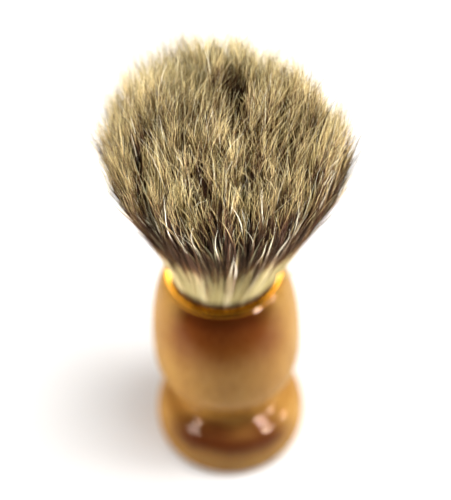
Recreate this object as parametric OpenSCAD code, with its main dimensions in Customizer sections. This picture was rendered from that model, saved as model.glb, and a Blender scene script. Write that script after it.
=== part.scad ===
// Shaving brush: a turned wooden handle with a bonded knot of badger hair in a gilt collar.
// Millimetres. The origin is the centre of the foot's underside, and +Z runs up the axis.

/* [Handle] */
// Height of the wooden handle, from its foot to its mouth
handle_h = 54; // [50:1:60]
// Widest diameter of the foot bead
foot_d = 36.6; // [35:0.1:40]
// Diameter of the flat that the foot stands on
foot_flat_d = 32.4; // [28:0.1:33]
// Height of the foot bead
foot_h = 12.6; // [11.5:0.1:13.5]
// Diameter of the waist between the foot and the bulb
waist_d = 22.4; // [20:0.1:25]
// Height of the waist above the ground
waist_z = 15.4; // [15:0.1:17]
// Widest diameter of the bulb
bulb_d = 34.3; // [33:0.1:38]
// Height of the bulb's widest point
bulb_z = 31.5; // [30:0.5:36]
// Outside diameter of the mouth
mouth_d = 27.2; // [27:0.1:28]

/* [Collar] */
// Outside diameter of the visible hoop
collar_d = 26.1; // [25.4:0.1:26.2]
// How far the hoop stands above the wood
collar_h = 1.1; // [0.9:0.1:1.4]
// Length of the skirt pressed into the wood
collar_skirt = 3.5; // [2.5:0.1:4.5]
// Opening of the collar, where the hair comes out
collar_bore = 22.3; // [22:0.1:22.6]

/* [Knot] */
// Diameter of the knot, measured at its resin plug
knot_d = 20.8; // [20.4:0.1:21]
// Length of hair above the wood, called the loft
loft = 53; // [50:1:60]
// Widest diameter of the spread hair
bloom_d = 47; // [44:0.5:50]
// Height of the widest point above the wood
bloom_z = 38.5; // [36:0.5:42]
// Height of the resin plug
plug_h = 8; // [6:0.5:10]
// Diameter of the thread that ties the roots
thread_d = 0.6; // [0.4:0.05:0.7]
// Turns of thread
thread_turns = 5; // [3:1:6]

/* [Hidden] */

$fn = 96;
bond_gap = 0.02;                          // left between bonded faces
curve_steps = 22;                         // points along each curve of an outline
cut_through = 1;                          // cutters run this far past the face they open

socket_d = knot_d + 1.4;                  // drilled for the plug and its glue
socket_depth = plug_h + 6.5;
glue_floor = 1.5;                         // glue under the plug
glue_short = 1.5;                         // the glue stops this far below the plug's top
seat_d = collar_bore + 1.7;               // counterbore for the collar's skirt
floor_z = handle_h - socket_depth;
plug_z = floor_z + glue_floor;
plug_top = plug_z + plug_h;
plug_wall = 1;                            // clear resin around the hair
hair_embed = plug_h - 3;                  // hair held in the resin

thread_gap = 0.1;                         // between the thread and its neighbours
thread_pitch = 0.9 * thread_d;            // under the diameter, so the turns hold together
root_r = collar_bore / 2 - 0.6;           // hair where it passes the collar
tied_r = knot_d / 2 - plug_wall;          // hair where the thread squeezes it

hinge_z = handle_h + 9;                   // height that the free hair leans about
ball_r = 12;                              // rounded top of the packed hair
neck_r = root_r - 0.3;                    // packed hair just under that rounded top
pocket_gap = 0.15;                        // between the packed and the free hair
flare = 1.6;                              // how late the hair spreads: 1 is a plain quarter wave
bloom_foot = 0.8;                         // the free hair starts this far above hinge_z
top_z = handle_h + loft;

// A point on the cubic curve from a to d, pulled towards b and c
function curve_point(a, b, c, d, t) =
    pow(1 - t, 3) * a + 3 * pow(1 - t, 2) * t * b + 3 * (1 - t) * t * t * c + pow(t, 3) * d;

// Points along that curve, leaving out the last so that curves can be joined
function curve(a, b, c, d) =
    [for (i = [0 : curve_steps - 1]) curve_point(a, b, c, d, i / curve_steps)];

// Radius of the spread hair at a height between the collar and its widest point
function hair_r(z) =
    let (t = min(1, max(0, (z - handle_h) / bloom_z)))
    root_r + (bloom_d / 2 - root_r) * pow(sin(90 * t), flare);

// Radii and heights where the curves of the handle's outline meet
foot_r = foot_d / 2;
flat_r = foot_flat_d / 2;
waist_r = waist_d / 2;
bulb_r = bulb_d / 2;
mouth_r = mouth_d / 2;
mouth_round = 0.5;
foot_wide_z = 0.36 * foot_h;
crease_r = waist_r + 3.4;                 // where the top of the foot bead meets the waist

// How far each curve runs straight on before it bends
toe_run = 1.3;
heel_run = 2.5;
side_run = 4.8;
bead_run = foot_r - crease_r - 1.6;
crease_run = 2;
waist_run = 1.6;
belly_run = 3.6;
bulb_run = 10.5;
shoulder_run = [2.2, 5];

// Outline of the handle, from its foot up to its mouth, as radius and height
handle_outline = concat(
    [[0, 0]],
    curve([flat_r, 0], [flat_r + toe_run, 0], [foot_r, foot_wide_z - heel_run], [foot_r, foot_wide_z]),
    curve([foot_r, foot_wide_z], [foot_r, foot_wide_z + side_run], [crease_r + bead_run, foot_h],
          [crease_r, foot_h]),
    curve([crease_r, foot_h], [crease_r - crease_run, foot_h], [waist_r, waist_z - waist_run],
          [waist_r, waist_z]),
    curve([waist_r, waist_z], [waist_r, waist_z + belly_run], [bulb_r, bulb_z - bulb_run],
          [bulb_r, bulb_z]),
    curve([bulb_r, bulb_z], [bulb_r, bulb_z + bulb_run],
          [mouth_r + shoulder_run[0], handle_h - shoulder_run[1]], [mouth_r, handle_h - mouth_round]),
    [[mouth_r - mouth_round, handle_h], [0, handle_h]]
);

// Turned and lacquered body, drilled for the knot and counterbored for the collar
module handle() {
    color([0.78, 0.5, 0.24])
    difference() {
        rotate_extrude() polygon(handle_outline);
        translate([0, 0, floor_z]) cylinder(d = socket_d, h = socket_depth + cut_through);
        translate([0, 0, handle_h - collar_skirt]) cylinder(d = seat_d, h = collar_skirt + cut_through);
    }
}

// Quarter of a circle about a centre, from one angle up to 90 degrees more
function quarter(centre, r, from) =
    [for (i = [0 : 8]) let (a = from + 90 * i / 8) centre + r * [cos(a), sin(a)]];

// Gilt hoop: its rim rounds off to the outside, and a thin skirt presses it into the mouth
module collar_ring() {
    bore_r = collar_bore / 2;
    rim_r = collar_d / 2;
    rim_z = handle_h + bond_gap;
    skirt_r = seat_d / 2 - bond_gap;
    skirt_z = handle_h - collar_skirt + bond_gap;
    rim_top = handle_h + collar_h;
    crown_r = collar_h - 0.2;
    lip_r = 0.3;
    color([0.95, 0.66, 0.18])
    rotate_extrude() polygon(concat(
        [[bore_r, skirt_z], [skirt_r, skirt_z], [skirt_r, rim_z], [rim_r, rim_z]],
        quarter([rim_r - crown_r, rim_top - crown_r], crown_r, 0),
        quarter([bore_r + lip_r, rim_top - lip_r], lip_r, 90)
    ));
}

// Cured adhesive that fills the socket under and around the plug
module glue_bed() {
    color([0.85, 0.78, 0.55])
    difference() {
        translate([0, 0, floor_z + bond_gap])
            cylinder(d = socket_d - 2 * bond_gap, h = glue_floor + plug_h - glue_short);
        translate([0, 0, plug_z - bond_gap]) cylinder(d = knot_d + 2 * bond_gap, h = plug_h);
    }
}

// Cast resin that bonds the ends of the hair together
module knot_plug() {
    color([0.9, 0.86, 0.72])
    difference() {
        translate([0, 0, plug_z]) cylinder(d = knot_d, h = plug_h);
        translate([0, 0, plug_top - hair_embed]) cylinder(r = tied_r + bond_gap, h = plug_h);
    }
}

// Cotton thread wound round the hair just above the resin
module binding_thread() {
    color([0.93, 0.91, 0.85])
    for (i = [0 : thread_turns - 1])
        translate([0, 0, plug_top + thread_gap + thread_d / 2 + i * thread_pitch])
            rotate_extrude()
                translate([tied_r + thread_gap + thread_d / 2, 0])
                    circle(d = thread_d, $fn = 32);
}

// Packed lower hair: held in the plug, tied, through the collar, and rounded where it can lean
module hair_roots() {
    thread_top = plug_top + thread_gap + thread_d + thread_turns * thread_pitch;
    full_z = handle_h + 0.8;              // the tied hair has spread out again here
    neck_z = hinge_z - sqrt(pow(ball_r, 2) - pow(neck_r, 2));
    color([0.86, 0.8, 0.62])
    union() {
        rotate_extrude() polygon([
            [0, plug_top - hair_embed + bond_gap],
            [tied_r, plug_top - hair_embed + bond_gap],
            [tied_r, thread_top],
            [root_r, full_z],
            [root_r, handle_h + collar_h],
            [neck_r, neck_z],
            [0, neck_z]
        ]);
        intersection() {
            translate([0, 0, hinge_z]) sphere(r = ball_r);
            translate([0, 0, neck_z + ball_r]) cube(2 * ball_r, center = true);
        }
    }
}

// Free hair: it flares from the collar, and its tips make a dome
module hair_bloom() {
    foot_z = hinge_z + bloom_foot;
    wide_z = handle_h + bloom_z;
    color([0.8, 0.74, 0.55])
    difference() {
        rotate_extrude() polygon(concat(
            [[0, foot_z]],
            [for (i = [0 : curve_steps - 1])
                let (z = foot_z + (wide_z - foot_z) * i / curve_steps)
                [hair_r(z), z]],
            [for (i = [0 : curve_steps])
                let (a = 90 * i / curve_steps)
                [bloom_d / 2 * cos(a), wide_z + (top_z - wide_z) * sin(a)]]
        ));
        translate([0, 0, hinge_z]) sphere(r = ball_r + pocket_gap);
    }
}

handle();
collar_ring();
glue_bed();
knot_plug();
binding_thread();
hair_roots();
hair_bloom();
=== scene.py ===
"""Shaving brush: banded badger hair in a lacquered wooden handle with a gilt collar."""
import math

import bmesh
import bpy
import numpy as np
from mathutils import Matrix, Vector

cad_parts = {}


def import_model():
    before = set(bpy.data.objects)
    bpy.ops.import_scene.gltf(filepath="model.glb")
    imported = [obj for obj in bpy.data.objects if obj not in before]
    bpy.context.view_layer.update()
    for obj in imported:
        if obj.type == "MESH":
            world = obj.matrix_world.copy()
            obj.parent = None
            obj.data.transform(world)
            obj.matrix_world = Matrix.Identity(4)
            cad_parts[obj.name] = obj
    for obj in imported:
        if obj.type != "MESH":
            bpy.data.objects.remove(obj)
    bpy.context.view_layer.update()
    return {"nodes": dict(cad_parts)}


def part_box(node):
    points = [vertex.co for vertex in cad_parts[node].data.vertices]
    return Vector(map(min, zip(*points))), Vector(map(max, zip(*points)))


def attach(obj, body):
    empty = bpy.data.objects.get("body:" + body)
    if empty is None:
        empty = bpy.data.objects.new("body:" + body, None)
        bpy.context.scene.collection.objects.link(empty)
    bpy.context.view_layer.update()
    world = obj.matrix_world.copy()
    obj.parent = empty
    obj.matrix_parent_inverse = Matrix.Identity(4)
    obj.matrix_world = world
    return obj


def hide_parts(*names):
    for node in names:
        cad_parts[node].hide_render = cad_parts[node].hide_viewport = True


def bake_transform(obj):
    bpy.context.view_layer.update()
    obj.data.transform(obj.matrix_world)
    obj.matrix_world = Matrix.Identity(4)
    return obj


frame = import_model()

MM = 0.001
rng = np.random.default_rng(22)

# ---------------------------------------------------------------- sizes read from the frame
mouth_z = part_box("handle")[1].z
plug_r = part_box("knot_plug")[1].x
bloom_low, bloom_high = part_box("hair_bloom")
bloom_r = (bloom_high.x - bloom_low.x) / 2
top_z = bloom_high.z


# ---------------------------------------------------------------- node helpers
def new_material(name):
    """An empty node material with its output node, as (material, nodes, links, output)."""
    material = bpy.data.materials.new(name)
    material.use_nodes = True
    tree = material.node_tree
    tree.nodes.clear()
    output = tree.nodes.new("ShaderNodeOutputMaterial")
    return material, tree.nodes, tree.links, output


def add(nodes, kind, inputs=None, **settings):
    """A node with its settings and the values of its unlinked inputs."""
    node = nodes.new(kind)
    for key, value in settings.items():
        setattr(node, key, value)
    for key, value in (inputs or {}).items():
        node.inputs[key].default_value = value
    return node


def math_node(nodes, links, operation, a, b=None, c=None):
    """A math node whose inputs are numbers or sockets; returns its output socket."""
    node = nodes.new("ShaderNodeMath")
    node.operation = operation
    for i, value in enumerate((a, b, c)):
        if value is None:
            continue
        if isinstance(value, (int, float)):
            node.inputs[i].default_value = value
        else:
            links.new(value, node.inputs[i])
    return node.outputs[0]


def ramp(nodes, links, factor, stops, mode="LINEAR"):
    """A colour ramp over (position, colour) stops; returns its colour socket."""
    node = nodes.new("ShaderNodeValToRGB")
    node.color_ramp.interpolation = mode
    elements = node.color_ramp.elements
    while len(elements) > 1:
        elements.remove(elements[-1])
    elements[0].position, elements[0].color = stops[0][0], (*stops[0][1], 1)
    for position, colour in stops[1:]:
        elements.new(position).color = (*colour, 1)
    links.new(factor, node.inputs["Fac"])
    return node.outputs["Color"]


def mix_colour(nodes, links, factor, a, b, blend="MIX"):
    """A colour mix whose inputs are sockets, numbers or colours; returns its result socket."""
    node = nodes.new("ShaderNodeMix")
    node.data_type = "RGBA"
    node.blend_type = blend
    for key, value in ((0, factor), (6, a), (7, b)):
        if isinstance(value, bpy.types.NodeSocket):
            links.new(value, node.inputs[key])
        elif isinstance(value, tuple):
            node.inputs[key].default_value = (*value, 1)
        else:
            node.inputs[key].default_value = value
    return node.outputs[2]


# ---------------------------------------------------------------- turned pieces
def outline_of(node):
    """The (radius, height) outline of a turned CAD node, walked from its lowest end."""
    mesh = frame["nodes"][node].data
    co = np.array([v.co for v in mesh.vertices])
    rz = np.round(np.stack([np.hypot(co[:, 0], co[:, 1]), co[:, 2]], 1), 6)
    points, index = np.unique(rz, axis=0, return_inverse=True)
    index = index.ravel()
    links = {}
    for edge in mesh.edges:
        a, b = (int(index[v]) for v in edge.vertices)
        if a != b:
            links.setdefault(a, set()).add(b)
            links.setdefault(b, set()).add(a)
    ends = [i for i in links if len(links[i]) == 1]
    start = min(ends or links, key=lambda i: (points[i][1], points[i][0]))
    walk, before, here = [start], None, start
    while True:
        after = [i for i in sorted(links[here]) if i != before and i not in walk[1:]]
        if not after or after[0] == start:
            break
        before, here = here, after[0]
        walk.append(here)
    return points[walk], not ends


def lathe(name, node, segments, sharp_angle=35):
    """A CAD node's outline turned again as an even, smooth-shaded grid with its own UV layer."""
    outline, closed = outline_of(node)
    count = len(outline)
    rows = count + 1 if closed else count
    turn = np.arange(segments) * 2 * math.pi / segments
    mesh_bm = bmesh.new()
    rings = []
    for r, z in outline:
        rings.append([mesh_bm.verts.new((r * math.cos(a), r * math.sin(a), z)) for a in turn])
    if closed:
        rings.append(rings[0])
    steps = np.diff(np.vstack([outline, outline[:1]]), axis=0)
    run = np.concatenate([[0], np.cumsum(np.hypot(*steps.T))])
    run /= run[rows - 1]
    uv = mesh_bm.loops.layers.uv.new("OFBake")
    for i in range(rows - 1):
        for j in range(segments):
            k = (j + 1) % segments
            face = mesh_bm.faces.new((rings[i][j], rings[i][k], rings[i + 1][k], rings[i + 1][j]))
            corners = ((j, i), (j + 1, i), (j + 1, i + 1), (j, i + 1))
            for loop, (across, up) in zip(face.loops, corners):
                loop[uv].uv = (across / segments, 0.02 + 0.96 * run[up])
    if not closed:                   # each end face takes a small patch in the spare strip beside its row
        for ring, z in ((rings[0], outline[0][1]), (rings[-1], outline[-1][1])):
            face = mesh_bm.faces.new(ring)
            for loop in face.loops:
                across = 0.5 + 0.009 * loop.vert.co.x / max(1e-9, abs(ring[0].co.x))
                up = 0.009 + 0.008 * loop.vert.co.y / max(1e-9, abs(ring[0].co.x))
                loop[uv].uv = (across, up if z == outline[0][1] else 1 - up)
    bmesh.ops.recalc_face_normals(mesh_bm, faces=mesh_bm.faces)
    for face in mesh_bm.faces:
        face.smooth = True
    for edge in mesh_bm.edges:
        if len(edge.link_faces) == 2 and edge.calc_face_angle(0) > math.radians(sharp_angle):
            edge.smooth = False
    mesh = bpy.data.meshes.new(name)
    mesh_bm.to_mesh(mesh)
    mesh_bm.free()
    obj = bpy.data.objects.new(name, mesh)
    bpy.context.scene.collection.objects.link(obj)
    return obj


# ---------------------------------------------------------------- hair
# Shape of the whole knot
ROOT_Z = mouth_z - 4 * MM            # the strands start inside the collar
ROOT_R = plug_r + 0.3 * MM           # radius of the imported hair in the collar
WIDE_Z = mouth_z + 38.5 * MM         # height of the widest point
CONE = 1.15                          # slope, over that of a plain cone from the collar to there
ROUND = 12                           # how sharply that slope rounds off into the widest point
LEAN = 1.9 * MM                      # the knot leans a little to the right
BACK_SWAY = 3.8 * MM                 # and its far side sways back to the left
BACK_LIFT = 1.4 * MM                 # where it is also a little higher
SWEEP = 0.14                         # the tips in the middle sweep to the right
HOLLOW = (0.01, 0.04)                # a small hollow in the crown, in the unit disc of the strands
HOLLOW_REACH = (0.09, 0.19)          # and how far it reaches across and along
UNEVEN = [                           # bumps on the rim: azimuth, reach, extra height, extra spread
    (0.6, 0.55, -1.8 * MM, -0.10),
    (1.95, 0.35, 1.3 * MM, 0.0),
    (2.55, 0.40, -0.8 * MM, -0.02),
    (2.95, 0.25, 0.0, 0.035)]

# Strands
STRANDS, TRESSES = 13000, 8          # the strands are shared out among the tresses; the tresses are small enough to export whole
TUFTS, WISPS = 150, 1000             # large and small groups of strands that cling together
RINGS, SIDES = 15, 3                 # rings along a strand, and corners of each ring
GAPS = 0.22                          # share of the wisps that have lost their pale tips
GAP_BARE = 9 * MM                    # length of pale tip that these have lost
HOLLOW_BARE = 13 * MM                # and the most that is lost in the hollow
OUTER = 0.82                         # strands that start beyond this share of the disc are outer ones
STRAY, STRAY_REACH = -0.30, 0.11     # azimuth of some rim hairs that stand out, and its reach
BROKEN, BROKEN_REACH = -0.35, 0.3    # azimuth of a few rim hairs that are broken off low, and its reach

# Colours along a strand
FULL = 57 * MM                       # length of the longest hair, over which its colours are spaced
BAND_Z = mouth_z + 18.5 * MM         # height of the lower edge of the dark band
BAND_LOW, BAND_MID = 0.61, 0.75      # that edge, and the middle of the band, along the colour ramp
LEVELS, SHADES = 16, 16              # strand kinds: places of the dark band, and shades of each
COLUMNS = LEVELS * SHADES            # the kinds lie side by side in the UV layer
PALE = LEVELS - 1                    # the last level has no dark band
BAND_RANGE = 0.13                    # how far the levels move the band along the ramp
MEAN_TONE = 0.8                      # brightness that the strands share near their roots


def smooth(t, low, high):
    """Smooth step from 0 at low to 1 at high."""
    t = np.clip((t - low) / (high - low), 0, 1)
    return t * t * (3 - 2 * t)


def spread(z):
    """Outer radius of the hair at a height."""
    t = CONE * np.clip((z - mouth_z) / (WIDE_Z - mouth_z), 0, None)
    return ROOT_R + (bloom_r - ROOT_R) * t / (1 + t ** ROUND) ** (1 / ROUND)


def lean(z):
    """Sideways shift of the hair's middle at a height."""
    t = np.clip((z - mouth_z) / (WIDE_Z - mouth_z), 0, None)
    return LEAN * (np.sin(np.pi / 2 * np.clip(t / 0.65, 0, 1)) - 0.3 * smooth(t, 0.65, 1.3))


def disc_points(count, jitter):
    """Evenly scattered points in the unit disc, in a sunflower pattern."""
    i = np.arange(count) + 0.5
    r = np.sqrt(i / count)
    a = i * math.pi * (3 - math.sqrt(5))
    points = np.stack([r * np.cos(a), r * np.sin(a)], 1)
    return points + rng.normal(0, jitter / math.sqrt(count), points.shape)


def nearest(points, centres):
    """For each point, the index of its nearest centre."""
    found = np.empty(len(points), int)
    for start in range(0, len(points), 2000):
        part = points[start:start + 2000]
        found[start:start + 2000] = ((part[:, None] - centres[None]) ** 2).sum(2).argmin(1)
    return found


def clumps(seeds, count, jitter, height, sway):
    """Groups of neighbouring strands: each strand's group, and its centre, extra height and bend."""
    centres = disc_points(count, jitter)
    found = nearest(seeds, centres)
    lift = rng.normal(0, height, count)
    bend = rng.normal(0, sway, (count, 2))
    return found, centres[found], lift[found], bend[found]


def hollow(seeds, reach=1.0):
    """How deep each strand lies in the hollow of the crown, from 0 to 1."""
    x, y = (seeds - np.array(HOLLOW)).T / reach
    across, along = HOLLOW_REACH
    return np.exp(-(x / across) ** 2 - (y / along) ** 2)


def unevenness(seeds):
    """Extra height and extra spread of each strand, strongest at the rim."""
    angle = np.arctan2(seeds[:, 1], seeds[:, 0])
    lift, widen = np.zeros(len(seeds)), np.zeros(len(seeds))
    for azimuth, reach, height, out in UNEVEN:
        away = (angle - azimuth + math.pi) % (2 * math.pi) - math.pi
        bump = np.exp(-(away / reach) ** 2) * (seeds ** 2).sum(1)
        lift += height * bump
        widen += out * bump
    return lift, widen


def parting(seeds):
    """Sideways push of each strand away from the parting that runs forwards from the hollow."""
    x, y = (seeds - np.array(HOLLOW)).T
    push, edge = 0.08, 0.015
    side = np.tanh(x / edge) * np.exp(-(x / HOLLOW_REACH[0]) ** 2)
    return push * side * smooth(-y, -0.25, 0.0) * (1 - smooth(-y, 0.15, 0.6))


def own_bends(seeds, loose, reach, t):
    """Each strand's own bend near its tip, mostly sideways at the rim, and its slow curl."""
    count = len(seeds)
    rho = np.hypot(*seeds.T)
    outward = seeds / np.maximum(rho, 1e-6)[:, None]
    bend = rng.normal(0, 1, (count, 2)) * loose[:, None]
    straying = (bend * outward).sum(1) * 0.75 * smooth(rho, 0.5, 0.95)
    bend = (bend - straying[:, None] * outward)[:, None] * reach ** 2
    kink = rng.uniform(6, 14, (count, 1, 1))
    phase = rng.uniform(0, 2 * math.pi, (count, 1, 2))
    wave = rng.uniform(0.8, 3.0, (count, 1, 2))
    curl = 0.2 * loose[:, None, None] * reach ** 2 * np.sin(2 * math.pi * wave * t + phase) * t ** 1.5
    return bend * t ** kink + curl


def strand_paths(seeds, cut, loose, splay):
    """Centre lines of the strands, with each strand's tuft, wisp and missing tip.

    A strand keeps its place in the unit disc, q, while the disc widens with height. Groups, bends
    and splaying then move that place little by little towards the tip, where t is 1.
    """
    count = len(seeds)
    t = 1 - (1 - np.linspace(0, 1, RINGS)) ** 1.25
    t = t[None, :, None]
    tuft, tuft_centre, tuft_lift, tuft_bend = clumps(
        seeds, TUFTS, jitter=0.9, height=0.8 * MM, sway=0.035)
    wisp, wisp_centre, wisp_lift, wisp_bend = clumps(
        seeds, WISPS, jitter=0.9, height=1.2 * MM, sway=0.055)
    q = np.repeat(seeds[:, None, :], RINGS, 1)
    q = q + (tuft_centre[:, None] - q) * rng.uniform(0.0, 0.3, (count, 1, 1)) * smooth(t, 0.3, 1.0)
    q = q + (wisp_centre[:, None] - q) * rng.uniform(0.3, 1.0, (count, 1, 1)) * smooth(t, 0.55, 1.0)
    inner = np.clip(1 - (seeds ** 2).sum(1), 0, 1)
    q[:, :, 0] += (SWEEP * inner + parting(seeds))[:, None] * t[:, :, 0] ** 4
    gap = (rng.random(WISPS) < GAPS)[wisp] * (inner > 0.25)
    bare = np.maximum(HOLLOW_BARE * hollow(seeds) ** 0.6, GAP_BARE * gap)
    lift, widen = unevenness(seeds)
    back = smooth(seeds[:, 1], -0.1, 1.0)
    dome_z = WIDE_Z + (top_z - WIDE_Z) * np.sqrt(inner)
    tip_z = dome_z + tuft_lift + wisp_lift - cut - 0.25 * bare
    tip_z += BACK_LIFT * back + lift
    reach = ((tip_z - ROOT_Z) / FULL)[:, None, None]
    q = q + (tuft_bend[:, None] * t ** 3 + wisp_bend[:, None] * t ** 8) * reach ** 2
    q = q + own_bends(seeds, loose, reach, t)
    q = q * (1 + (splay + widen)[:, None, None] * t ** 3)
    z = ROOT_Z + (tip_z - ROOT_Z)[:, None] * t[:, :, 0]
    r = spread(z)
    path = np.empty((count, RINGS, 3))
    path[:, :, 0] = q[:, :, 0] * r + lean(z) - BACK_SWAY * back[:, None] * t[:, :, 0] ** 2
    path[:, :, 1] = q[:, :, 1] * r
    path[:, :, 2] = z
    return path, tuft, wisp, bare


def colour_places(paths, from_tip, missing):
    """Where each ring of a strand lies along the colour ramp: 0 in the collar, 1 at a whole tip."""
    z = paths[:, :, 2]
    by_height = np.minimum(BAND_LOW + (z - BAND_Z) / FULL, BAND_MID)
    place = np.maximum(by_height, 1 - (from_tip + missing[:, None]) / FULL)
    # painted shade: the place falls to 0 where the hair enters the collar, so the strands darken there
    place *= smooth(z, mouth_z + 0.5 * MM, mouth_z + 4 * MM)
    return np.clip(place, 0.004, 0.996)


def strand_rings(paths, width, own):
    """Corners of the rings round each strand. It tapers as own, its own length, goes from 0 to 1."""
    count = len(paths)
    along = np.gradient(paths, axis=1)
    along /= np.linalg.norm(along, axis=2, keepdims=True)
    turn = rng.uniform(0, 2 * math.pi, count)
    side = np.stack([np.cos(turn), np.sin(turn), np.zeros(count)], 1)[:, None]
    side = side - along * (side * along).sum(2, keepdims=True)
    side /= np.linalg.norm(side, axis=2, keepdims=True)
    other = np.cross(along, side)
    taper = (0.75 + 0.25 * smooth(own, 0.1, 0.6)) * (1 - 0.88 * smooth(own, 0.78, 1.0))
    radius = width[:, None] / 2 * taper
    corner = np.arange(SIDES) * 2 * math.pi / SIDES
    return paths[:, :, None] + radius[:, :, None, None] * (
        np.cos(corner)[None, None, :, None] * side[:, :, None]
        + np.sin(corner)[None, None, :, None] * other[:, :, None])


def strand_mesh(name, paths, width, column, missing):
    """One mesh of tapered strands. UV x is the kind of strand, and UV y the place on its ramp."""
    count = len(paths)
    step = np.linalg.norm(np.diff(paths, axis=1), axis=2)
    from_tip = np.concatenate([np.cumsum(step[:, ::-1], axis=1)[:, ::-1], np.zeros((count, 1))], 1)
    place = colour_places(paths, from_tip, missing)
    verts = strand_rings(paths, width, 1 - from_tip / from_tip[:, :1])

    per_strand = RINGS * SIDES
    ring, c = np.meshgrid(np.arange(RINGS - 1), np.arange(SIDES), indexing="ij")
    n = (c + 1) % SIDES
    here, after = ring * SIDES, (ring + 1) * SIDES
    quad = np.stack([here + c, here + n, after + n, after + c], 2).reshape(-1, 4)
    base = np.arange(count)[:, None, None] * per_strand
    quads = (quad[None] + base).reshape(-1)
    ends = np.array([[2, 1, 0], [per_strand - 3, per_strand - 2, per_strand - 1]])
    caps = (ends[None] + base).reshape(-1)

    mesh = bpy.data.meshes.new(name)
    mesh.vertices.add(count * per_strand)
    mesh.vertices.foreach_set("co", verts.reshape(-1))
    mesh.loops.add(len(quads) + len(caps))
    mesh.loops.foreach_set("vertex_index", np.concatenate([quads, caps]))
    quad_count, cap_count = len(quads) // 4, len(caps) // 3
    mesh.polygons.add(quad_count + cap_count)
    starts = np.concatenate([np.arange(quad_count) * 4, len(quads) + np.arange(cap_count) * 3])
    mesh.polygons.foreach_set("loop_start", starts)
    mesh.polygons.foreach_set("use_smooth", np.ones(quad_count + cap_count, bool))

    across = np.stack([c, c + 1, c + 1, c], 2).reshape(1, -1, 4) / SIDES
    u = (column[:, None, None] + 0.1 + 0.8 * across) / COLUMNS
    low, high = place[:, ring], place[:, ring + 1]
    v = np.stack([low, low, high, high], 3)
    cap_u = (column[:, None, None] + np.array([0.3, 0.5, 0.7])) / COLUMNS
    cap_v = place[:, [0, -1], None] + np.array([0.0, 0.002, 0.0])
    u = np.concatenate([u.reshape(-1), np.repeat(cap_u, 2, 1).reshape(-1)])
    v = np.concatenate([v.reshape(-1), cap_v.reshape(-1)])
    layer = mesh.uv_layers.new(name="OFBake")
    layer.data.foreach_set("uv", np.stack([u, v], 1).reshape(-1))
    mesh.update(calc_edges=True)
    mesh.validate()
    obj = bpy.data.objects.new(name, mesh)
    bpy.context.scene.collection.objects.link(obj)
    return obj


def banded_colour(nodes, links, place):
    """Painted shade where the hair enters the collar, then cream root, dark band and cream tip."""
    return ramp(nodes, links, place, [
        # painted shade where the hair enters the collar
        (0.00, (0.06, 0.03, 0.015)),
        (0.21, (0.10, 0.055, 0.025)),
        (0.33, (0.70, 0.59, 0.32)),
        (0.40, (0.78, 0.68, 0.38)),
        (0.56, (0.66, 0.54, 0.29)),
        (0.61, (0.24, 0.12, 0.05)),
        (0.66, (0.045, 0.019, 0.014)),
        (0.825, (0.040, 0.018, 0.014)),
        (0.87, (0.17, 0.095, 0.045)),
        (0.915, (0.66, 0.50, 0.23)),
        (1.00, (0.93, 0.79, 0.44))])


def pale_colour(nodes, links, place):
    """Pale all along, with no more than a light brown middle, and painted shade where the hair enters the
    collar.
    """
    return ramp(nodes, links, place, [
        # painted shade where the hair enters the collar
        (0.00, (0.10, 0.06, 0.03)),
        (0.33, (0.72, 0.62, 0.38)),
        (0.56, (0.74, 0.64, 0.42)),
        (0.64, (0.30, 0.20, 0.13)),
        (0.76, (0.34, 0.24, 0.16)),
        (0.82, (0.80, 0.71, 0.52)),
        (1.00, (1.0, 0.94, 0.76))])


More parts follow.
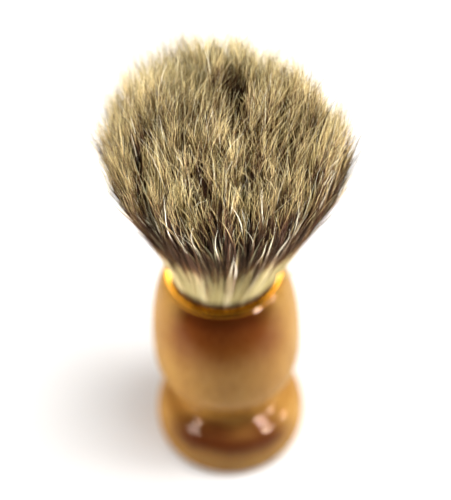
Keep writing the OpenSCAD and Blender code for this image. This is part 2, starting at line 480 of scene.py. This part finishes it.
def hair_material():
    """Badger hair: the colours along each strand, with its own shade per strand."""
    material, nodes, links, output = new_material("badger_hair_banded")
    uv = add(nodes, "ShaderNodeUVMap", uv_map="OFBake")
    split = add(nodes, "ShaderNodeSeparateXYZ")
    links.new(uv.outputs["UV"], split.inputs[0])
    place = split.outputs["Y"]
    column = math_node(nodes, links, "MULTIPLY", split.outputs["X"], COLUMNS)
    column = math_node(nodes, links, "FLOOR", column)
    level = math_node(nodes, links, "FLOOR", math_node(nodes, links, "DIVIDE", column, SHADES))
    first_column = math_node(nodes, links, "MULTIPLY", level, SHADES)
    own_shade = math_node(nodes, links, "SUBTRACT", column, first_column)

    shift = math_node(nodes, links, "MULTIPLY_ADD", level, BAND_RANGE / (LEVELS - 2), -BAND_RANGE / 2)
    banded = banded_colour(nodes, links, math_node(nodes, links, "ADD", place, shift))
    chance = add(nodes, "ShaderNodeTexWhiteNoise", noise_dimensions="1D")
    links.new(column, chance.inputs["W"])
    parts = add(nodes, "ShaderNodeSeparateColor")
    links.new(chance.outputs["Color"], parts.inputs[0])
    redness = math_node(nodes, links, "MULTIPLY", parts.outputs["Blue"], 0.16)
    brown = mix_colour(nodes, links, redness, banded, (0.50, 0.24, 0.12))
    is_pale = math_node(nodes, links, "GREATER_THAN", level, PALE - 0.5)
    hair = mix_colour(nodes, links, is_pale, brown, pale_colour(nodes, links, place))

    shade = math_node(nodes, links, "MULTIPLY_ADD", own_shade, 1.2 / (SHADES - 1), 0.22)
    streak = add(nodes, "ShaderNodeTexNoise", {"Scale": 14.0, "Detail": 3.0}, noise_dimensions="2D")
    stretched = add(nodes, "ShaderNodeCombineXYZ")
    links.new(math_node(nodes, links, "MULTIPLY", column, 3.7), stretched.inputs["X"])
    links.new(place, stretched.inputs["Y"])
    links.new(stretched.outputs[0], streak.inputs["Vector"])
    mottle = math_node(nodes, links, "MULTIPLY_ADD", streak.outputs["Fac"], 0.5, 0.75)
    tone = math_node(nodes, links, "MULTIPLY", shade, mottle)
    calm = add(nodes, "ShaderNodeMapRange", {
        "From Min": 0.45, "From Max": 0.65, "To Min": 0.4, "To Max": 1.0})
    links.new(place, calm.inputs["Value"])
    tone = math_node(nodes, links, "SUBTRACT", tone, MEAN_TONE)
    tone = math_node(nodes, links, "MULTIPLY_ADD", tone, calm.outputs["Result"], MEAN_TONE)

    lightness = math_node(nodes, links, "MULTIPLY", own_shade, 1.0 / (SHADES - 1))
    tint = mix_colour(nodes, links, lightness, (1.0, 0.98, 0.74), (0.97, 1.0, 1.08))
    tinted = mix_colour(nodes, links, 1.0, hair, tint, "MULTIPLY")
    toned = mix_colour(nodes, links, 1.0, tinted, tone, "MULTIPLY")
    surface = add(nodes, "ShaderNodeBsdfPrincipled", {
        "Roughness": 0.42, "Specular IOR Level": 0.2, "Specular Tint": (1.0, 0.93, 0.82, 1)})
    links.new(toned, surface.inputs["Base Color"])
    links.new(surface.outputs[0], output.inputs["Surface"])
    return material


def strand_cuts(rho, kind, pale, early):
    """How much shorter each strand is than the dome, worked out in millimetres."""
    cut = np.abs(rng.normal(0, 0.8, STRANDS))
    cut = np.where(pale & (rho > OUTER), rng.uniform(0, 10, STRANDS), cut)
    cut = np.where(early, rng.uniform(1, 9, STRANDS), cut)
    short = (rho > 0.72) & (kind > 0.64) & ~early
    cut = np.where(short, rng.uniform(0, 1, STRANDS) ** 1.3 * 15 * (rho - 0.6) / 0.4, cut)
    return cut * MM


def strand_splay(rho, kind, pale, front, stray):
    """How far each strand stands out at its tip, as a share of its distance from the axis."""
    outer = rho > OUTER
    splay = np.where(outer, np.abs(rng.normal(0, 0.055, STRANDS)), 0)
    splay += np.where(kind > 0.99, 0.06 * front, 0)
    splay += np.where(pale & outer, rng.uniform(0, 0.06, STRANDS), 0)
    return splay + 0.02 * stray


def missing_tips(rho, front, stray, bare, cut, trimmed):
    """Length of pale tip that each strand lacks: all that was trimmed off, or a little anyway."""
    at_rim = front * smooth(rho, 0.84, 0.97)
    inside = (1 - smooth(rho, 0.6, 0.9)) * (0.25 + 0.75 * front)
    missing = np.where(trimmed, cut, rng.uniform(0, 4.5, STRANDS) * at_rim * MM)
    missing += rng.uniform(0, 6, STRANDS) * inside * MM
    missing = np.maximum(missing, bare * rng.uniform(0.7, 1.0, STRANDS))
    return np.maximum(missing, 9 * MM * stray * (rng.random(STRANDS) < 0.7))


def strand_columns(tuft, wisp, pale):
    """Each strand's kind: its level places the dark band, and its shade is how light it is."""
    tuft_level = rng.normal((LEVELS - 2) / 2, 1.8, tuft.max() + 1)
    level = np.round(tuft_level[tuft] + rng.normal(0, 2.4, STRANDS))
    level = np.clip(level, 0, PALE - 1).astype(int)
    level[pale] = PALE
    wisp_shade = rng.normal((SHADES - 1) / 2, 3.0, wisp.max() + 1)
    shade = np.round(wisp_shade[wisp] + rng.normal(0, 3.5, STRANDS))
    shade = np.clip(shade, 0, SHADES - 1).astype(int)
    return level * SHADES + shade


def build_hair(material):
    """All the strands, in tresses that each take one sector of the knot.

    kind is drawn once for each strand, from 0 to 1, and ranges of it pick out the pale strands and
    the short, early-ended, splayed and broken ones.
    """
    seeds = disc_points(STRANDS, jitter=0.55)
    seeds /= np.maximum(1, np.hypot(*seeds.T))[:, None]
    rho = np.hypot(*seeds.T)
    angle = np.arctan2(seeds[:, 1], seeds[:, 0])
    kind = rng.random(STRANDS)
    front = 1 - smooth(seeds[:, 1], -0.2, 0.35)
    outer = rho > OUTER
    pale = (kind < 0.05) | (outer & (kind < 0.10))
    early = outer & (kind > 1 - 0.07 * front)
    stray = np.exp(-((angle - STRAY) / STRAY_REACH) ** 2) * smooth(rho, 0.86, 0.94)

    cut = strand_cuts(rho, kind, pale, early)
    loose = rng.uniform(0.03, 0.13, STRANDS) * (1 - 0.8 * hollow(seeds, reach=2.2))
    splay = strand_splay(rho, kind, pale, front, stray)
    how_broken = (kind - 0.29) / 0.02
    broken = (rho > 0.93) & (np.abs(angle - BROKEN) < BROKEN_REACH) & (np.abs(how_broken - 0.5) < 0.5)
    cut = np.where(broken, (32 + 8 * how_broken) * MM, cut)
    splay += np.where(broken, 0.5 - 0.2 * how_broken, 0)

    paths, tuft, wisp, bare = strand_paths(seeds, cut, loose, splay)
    column = strand_columns(tuft, wisp, pale)
    width = rng.uniform(0.14, 0.30, STRANDS) * np.where(pale, 1.05, 1) * MM
    missing = missing_tips(rho, front, stray, bare, cut, early | broken)
    sector = np.floor((angle + math.pi) / (2 * math.pi) * TRESSES).astype(int) % TRESSES
    made = []
    for i in range(TRESSES):
        chosen = sector == i
        tress = strand_mesh(
            f"hair_tress_{i + 1}", paths[chosen], width[chosen], column[chosen], missing[chosen])
        tress.data.materials.append(material)
        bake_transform(tress)
        made.append(tress)
    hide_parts("hair_roots", "hair_bloom")
    return made


# ---------------------------------------------------------------- materials of the handle
def wood_material():
    """Honey-coloured hardwood with growth rings and fine pores, under clear lacquer, with painted shade
    and dark reflection on the side facing the viewer.
    """
    material, nodes, links, output = new_material("lacquered_hardwood")
    place = add(nodes, "ShaderNodeTexCoord")
    stretch = add(nodes, "ShaderNodeMapping")
    stretch.inputs["Location"].default_value = (0.031, 0.018, 0.0)
    stretch.inputs["Rotation"].default_value = (0.10, 0.16, 0.4)
    stretch.inputs["Scale"].default_value = (1.0, 1.0, 0.16)
    links.new(place.outputs["Object"], stretch.inputs["Vector"])
    rings = add(nodes, "ShaderNodeTexWave", {
        "Scale": 42.0, "Distortion": 7.0, "Detail": 3.0, "Detail Scale": 1.3, "Detail Roughness": 0.6},
        wave_type="RINGS", rings_direction="Z", wave_profile="SIN")
    links.new(stretch.outputs[0], rings.inputs["Vector"])
    pores = add(nodes, "ShaderNodeTexNoise", {"Scale": 1500.0, "Detail": 4.0, "Roughness": 0.65})
    links.new(stretch.outputs[0], pores.inputs["Vector"])
    cloud = add(nodes, "ShaderNodeTexNoise", {"Scale": 55.0, "Detail": 3.0})
    links.new(place.outputs["Object"], cloud.inputs["Vector"])
    figure = math_node(nodes, links, "MULTIPLY_ADD", rings.outputs["Fac"], 0.08, 0.08)
    figure = math_node(nodes, links, "MULTIPLY_ADD", cloud.outputs["Fac"], 0.75, figure)
    wood = ramp(nodes, links, figure, [
        (0.25, (0.44, 0.205, 0.044)),
        (0.5, (0.60, 0.315, 0.074)),
        (0.75, (0.70, 0.40, 0.10))])
    split = add(nodes, "ShaderNodeSeparateXYZ")
    links.new(place.outputs["Object"], split.inputs[0])
    # painted shade and dark reflection by height: darker low on the foot, deepest on top of the foot's
    # bead, dark again over the top of the bulb and under the collar
    height = math_node(nodes, links, "MULTIPLY_ADD", cloud.outputs["Fac"], 0.10, -0.05)
    height = math_node(nodes, links, "MULTIPLY_ADD", split.outputs["Z"], 1 / mouth_z, height)
    painted_shade = ramp(nodes, links, height, [
        (0.00, (0.64, 0.64, 0.64)),
        (0.14, (0.68, 0.66, 0.64)),
        (0.18, (0.20, 0.085, 0.12)),
        (0.235, (0.20, 0.085, 0.12)),
        (0.27, (0.96, 0.96, 0.96)),
        (0.44, (1.0, 1.0, 1.0)),
        (0.71, (1.0, 0.96, 0.92)),
        (0.83, (0.60, 0.36, 0.32)),
        (0.93, (0.46, 0.23, 0.24)),
        (0.98, (0.18, 0.08, 0.07))], "B_SPLINE")
    # the painted shade is strongest on the side facing the viewer and fades towards the back, along a
    # cloudy edge
    front = add(nodes, "ShaderNodeMapRange", {
        "From Min": -6 * MM, "From Max": -13.5 * MM, "To Min": 0.12, "To Max": 1.0},
        interpolation_type="SMOOTHSTEP")
    wander = math_node(nodes, links, "MULTIPLY_ADD", cloud.outputs["Fac"], 10 * MM, -5 * MM)
    links.new(math_node(nodes, links, "ADD", split.outputs["Y"], wander), front.inputs["Value"])
    shaded_wood = mix_colour(nodes, links, 1.0, wood, painted_shade, "MULTIPLY")
    wood = mix_colour(nodes, links, front.outputs["Result"], wood, shaded_wood)
    fleck = ramp(nodes, links, pores.outputs["Fac"], [
        (0.36, (0.80, 0.72, 0.62)),
        (0.48, (1.0, 1.0, 1.0))])
    colour = mix_colour(nodes, links, 1.0, wood, fleck, "MULTIPLY")
    surface = add(nodes, "ShaderNodeBsdfPrincipled", {
        "Roughness": 0.5, "Specular IOR Level": 0.0,
        "Coat Weight": 0.9, "Coat Roughness": 0.05, "Coat IOR": 1.4})
    links.new(colour, surface.inputs["Base Color"])
    links.new(surface.outputs[0], output.inputs["Surface"])
    return material


def gilt_material():
    """Polished gold plating with faint turning lines."""
    material, nodes, links, output = new_material("gilt_plating")
    place = add(nodes, "ShaderNodeTexCoord")
    lines = add(nodes, "ShaderNodeTexNoise", {"Scale": 900.0, "Detail": 2.0})
    stretch = add(nodes, "ShaderNodeMapping")
    stretch.inputs["Scale"].default_value = (0.06, 0.06, 3.0)
    links.new(place.outputs["Object"], stretch.inputs["Vector"])
    links.new(stretch.outputs[0], lines.inputs["Vector"])
    colour = ramp(nodes, links, lines.outputs["Fac"], [
        (0.3, (0.82, 0.36, 0.035)),
        (0.7, (0.95, 0.45, 0.06))])
    rough = math_node(nodes, links, "MULTIPLY_ADD", lines.outputs["Fac"], 0.14, 0.10)
    bump = add(nodes, "ShaderNodeBump", {"Strength": 0.08, "Distance": 0.0001})
    links.new(lines.outputs["Fac"], bump.inputs["Height"])
    surface = add(nodes, "ShaderNodeBsdfPrincipled", {"Metallic": 1.0})
    links.new(colour, surface.inputs["Base Color"])
    links.new(rough, surface.inputs["Roughness"])
    links.new(bump.outputs[0], surface.inputs["Normal"])
    links.new(surface.outputs[0], output.inputs["Surface"])
    return material


def mottled_material(name, dark, light, scale, roughness):
    """A material whose colour and roughness vary with a soft noise, for the hidden pieces."""
    material, nodes, links, output = new_material(name)
    place = add(nodes, "ShaderNodeTexCoord")
    noise = add(nodes, "ShaderNodeTexNoise", {"Scale": scale, "Detail": 4.0})
    links.new(place.outputs["Object"], noise.inputs["Vector"])
    colour = ramp(nodes, links, noise.outputs["Fac"], [(0.3, dark), (0.7, light)])
    rough = math_node(nodes, links, "MULTIPLY_ADD", noise.outputs["Fac"], 0.2, roughness - 0.1)
    surface = add(nodes, "ShaderNodeBsdfPrincipled")
    links.new(colour, surface.inputs["Base Color"])
    links.new(rough, surface.inputs["Roughness"])
    links.new(surface.outputs[0], output.inputs["Surface"])
    return material


def dress(obj, material):
    """Gives an object that material alone."""
    obj.data.materials.clear()
    obj.data.materials.append(material)


# ---------------------------------------------------------------- build the pieces
turned_handle = lathe("turned_handle", "handle", 192, sharp_angle=60)
dress(turned_handle, wood_material())
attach(turned_handle, "handle")
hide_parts("handle")

gilt_collar = lathe("gilt_collar", "collar_ring", 192)
dress(gilt_collar, gilt_material())
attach(gilt_collar, "handle")
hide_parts("collar_ring")

epoxy = mottled_material("cured_epoxy", (0.55, 0.42, 0.2), (0.7, 0.58, 0.32), 400, 0.25)
resin = mottled_material("cast_resin", (0.66, 0.58, 0.4), (0.8, 0.74, 0.58), 300, 0.2)
cotton = mottled_material("cotton", (0.7, 0.66, 0.56), (0.88, 0.85, 0.77), 4000, 0.85)
dress(frame["nodes"]["glue_bed"], epoxy)
dress(frame["nodes"]["knot_plug"], resin)
dress(frame["nodes"]["binding_thread"], cotton)

tresses = build_hair(hair_material())


# ---------------------------------------------------------------- stage, light and camera
def floor():
    """A wide white table top that glows for the camera and reflects little in front of the brush."""
    half = 2.0
    mesh = bpy.data.meshes.new("floor")
    corners = [(-half, -half, 0), (half, -half, 0), (half, half, 0), (-half, half, 0)]
    mesh.from_pydata(corners, [], [(0, 1, 2, 3)])
    obj = bpy.data.objects.new("floor", mesh)
    bpy.context.scene.collection.objects.link(obj)
    material, nodes, links, output = new_material("white_table")
    surface = add(nodes, "ShaderNodeBsdfPrincipled", {"Roughness": 0.6, "Specular IOR Level": 0.1})
    path = add(nodes, "ShaderNodeLightPath")
    place = add(nodes, "ShaderNodeTexCoord")
    split = add(nodes, "ShaderNodeSeparateXYZ")
    links.new(place.outputs["Object"], split.inputs[0])
    seen = path.outputs["Is Camera Ray"]
    # painted reflection: other surfaces see the table black in front of the brush, where the viewer's
    # side is dark
    edge = add(nodes, "ShaderNodeMapRange", {"From Min": -0.09, "From Max": -0.052})
    links.new(split.outputs["Y"], edge.inputs["Value"])
    lit = math_node(nodes, links, "MAXIMUM", edge.outputs["Result"], seen)
    # painted reflection: they also see it warmer than the camera does
    warm = mix_colour(nodes, links, seen, (0.72, 0.62, 0.44), (0.72, 0.70, 0.68))
    paper = mix_colour(nodes, links, lit, (0.0, 0.0, 0.0), warm)
    links.new(paper, surface.inputs["Base Color"])
    far = add(nodes, "ShaderNodeVectorMath", operation="LENGTH")
    links.new(place.outputs["Object"], far.inputs[0])
    strength = add(nodes, "ShaderNodeMapRange", {
        "From Min": 0.25, "From Max": 0.7, "To Min": 0.26, "To Max": 1.0})
    links.new(far.outputs["Value"], strength.inputs["Value"])
    glow = add(nodes, "ShaderNodeEmission")
    links.new(seen, glow.inputs["Color"])
    links.new(strength.outputs["Result"], glow.inputs["Strength"])
    both = add(nodes, "ShaderNodeAddShader")
    links.new(surface.outputs[0], both.inputs[0])
    links.new(glow.outputs[0], both.inputs[1])
    links.new(both.outputs[0], output.inputs["Surface"])
    mesh.materials.append(material)
    return obj


def soft_light(name, direction, size, watts, glossy=False, diffuse=True, colour=(1, 1, 1), only=None):
    """A square area light aimed at the middle of the brush; it can light some objects only."""
    distance = 0.6
    target = Vector((0, 0, 0.05))
    data = bpy.data.lights.new(name, "AREA")
    data.shape = "SQUARE"
    data.size = size
    data.energy = watts
    data.color = colour
    obj = bpy.data.objects.new(name, data)
    obj.visible_glossy = glossy
    obj.visible_diffuse = diffuse
    if only:
        lit = bpy.data.collections.new(name + "_lit")
        for piece in only:
            lit.objects.link(piece)
        obj.light_linking.receiver_collection = lit
    obj.location = target + Vector(direction).normalized() * distance
    obj.rotation_mode = "QUATERNION"
    obj.rotation_quaternion = (-Vector(direction)).to_track_quat("-Z", "Y")
    bpy.context.scene.collection.objects.link(obj)


def world():
    """Pale walls, darker overhead and on the viewer's side. The camera itself sees plain white."""
    made = bpy.data.worlds.new("studio")
    bpy.context.scene.world = made
    made.use_nodes = True
    nodes, links = made.node_tree.nodes, made.node_tree.links
    nodes.clear()
    output = nodes.new("ShaderNodeOutputWorld")
    sky = nodes.new("ShaderNodeBackground")
    place = nodes.new("ShaderNodeTexCoord")
    split = nodes.new("ShaderNodeSeparateXYZ")
    links.new(place.outputs["Generated"], split.inputs[0])
    height = ramp(nodes, links, split.outputs["Z"], [
        (0.0, (0.25, 0.25, 0.25)),
        (0.5, (0.20, 0.20, 0.20)),
        (0.85, (0.05, 0.05, 0.05))])
    depth = math_node(nodes, links, "MULTIPLY_ADD", split.outputs["Y"], 0.5, 0.5)
    behind = ramp(nodes, links, depth, [
        (0.25, (0.02, 0.02, 0.02)),
        (0.45, (1.0, 1.0, 1.0))])
    walls = mix_colour(nodes, links, 1.0, height, behind, "MULTIPLY")
    path = add(nodes, "ShaderNodeLightPath")
    seen = mix_colour(nodes, links, path.outputs["Is Camera Ray"], walls, (1.0, 1.0, 1.0))
    links.new(seen, sky.inputs["Color"])
    links.new(sky.outputs[0], output.inputs["Surface"])


def camera():
    """A long lens from in front and above, rolled slightly, focused on the crown of the hair."""
    back, height = 153.98 * MM, 220.2 * MM
    pitch, roll = math.radians(45.95), math.radians(2.97)
    data = bpy.data.cameras.new("camera")
    data.sensor_width = 36
    data.lens = 74.68                # in the sensor's unit, millimetres
    data.shift_x = 0.0065
    look = Vector((0, math.cos(pitch), -math.sin(pitch)))
    up = Vector((0, math.sin(pitch), math.cos(pitch)))
    right = Vector((1, 0, 0))
    tilted_right = right * math.cos(roll) - up * math.sin(roll)
    tilted_up = right * math.sin(roll) + up * math.cos(roll)
    obj = bpy.data.objects.new("camera", data)
    turn = Matrix((tilted_right, tilted_up, -look)).transposed()
    obj.matrix_world = Matrix.Translation((0, -back, height)) @ turn.to_4x4()
    bpy.context.scene.collection.objects.link(obj)
    focus = bpy.data.objects.new("focus", None)
    focus.location = (0, -5 * MM, top_z)
    bpy.context.scene.collection.objects.link(focus)
    data.dof.use_dof = True
    data.dof.focus_object = focus
    data.dof.aperture_fstop = 9.5
    bpy.context.scene.camera = obj


def glint(name, direction, size, watts, only, colour=(1, 1, 1)):
    """A lamp that shows only as its reflection."""
    soft_light(name, direction, size, watts, glossy=True, diffuse=False, colour=colour, only=only)


def lights(table, handle, collar, hair):
    """Lamps for the table, the wood, the gilt and the hair, as far as each needs its own."""
    amber = (1.0, 0.90, 0.70)
    rose = (1.0, 0.66, 0.48)
    soft_light("overhead", (0.30, -0.06, 0.95), 0.36, 3.2, only=[handle, collar])
    soft_light("key", (0.48, -0.08, 0.88), 0.10, 0.8, only=[table, handle, collar])
    soft_light("table_light", (0.19, -0.06, 0.98), 0.28, 5.0, only=[table])
    soft_light("left_wall", (-0.95, 0.0, 0.30), 0.4, 2.1)
    soft_light("right_wall", (0.95, 0.0, 0.30), 0.4, 2.1)
    soft_light("wood_left", (-0.95, -0.1, 0.30), 0.4, 1.5, colour=amber, only=[handle])
    soft_light("wood_right", (0.95, -0.1, 0.30), 0.4, 0.25, colour=amber, only=[handle])
    glint("glint_right", (0.50, -0.12, 0.85), 0.07, 7.0, [handle], rose)
    glint("glint_far_right", (0.80, 0.0, 0.60), 0.08, 3.4, [handle], rose)
    glint("glint_left", (-0.42, 0.08, 0.90), 0.055, 3.6, [handle], rose)
    glint("back_right", (0.38, 0.66, 0.68), 0.7, 10.0, [collar])
    glint("back_left", (-0.38, 0.66, 0.68), 0.7, 3.0, [collar])
    soft_light("hair_top", (0.30, -0.06, 0.95), 0.30, 1.4, only=hair)
    soft_light("hair_front", (-0.35, -0.85, 0.35), 0.15, 2.8, only=hair)
    soft_light("hair_left", (-0.92, -0.30, 0.20), 0.25, 8.0, only=hair)
    soft_light("hair_right", (0.92, -0.34, 0.15), 0.25, 10.5, only=hair)


world()
lights(floor(), turned_handle, gilt_collar, tresses)
camera()

bpy.context.scene.view_settings.view_transform = "Standard"
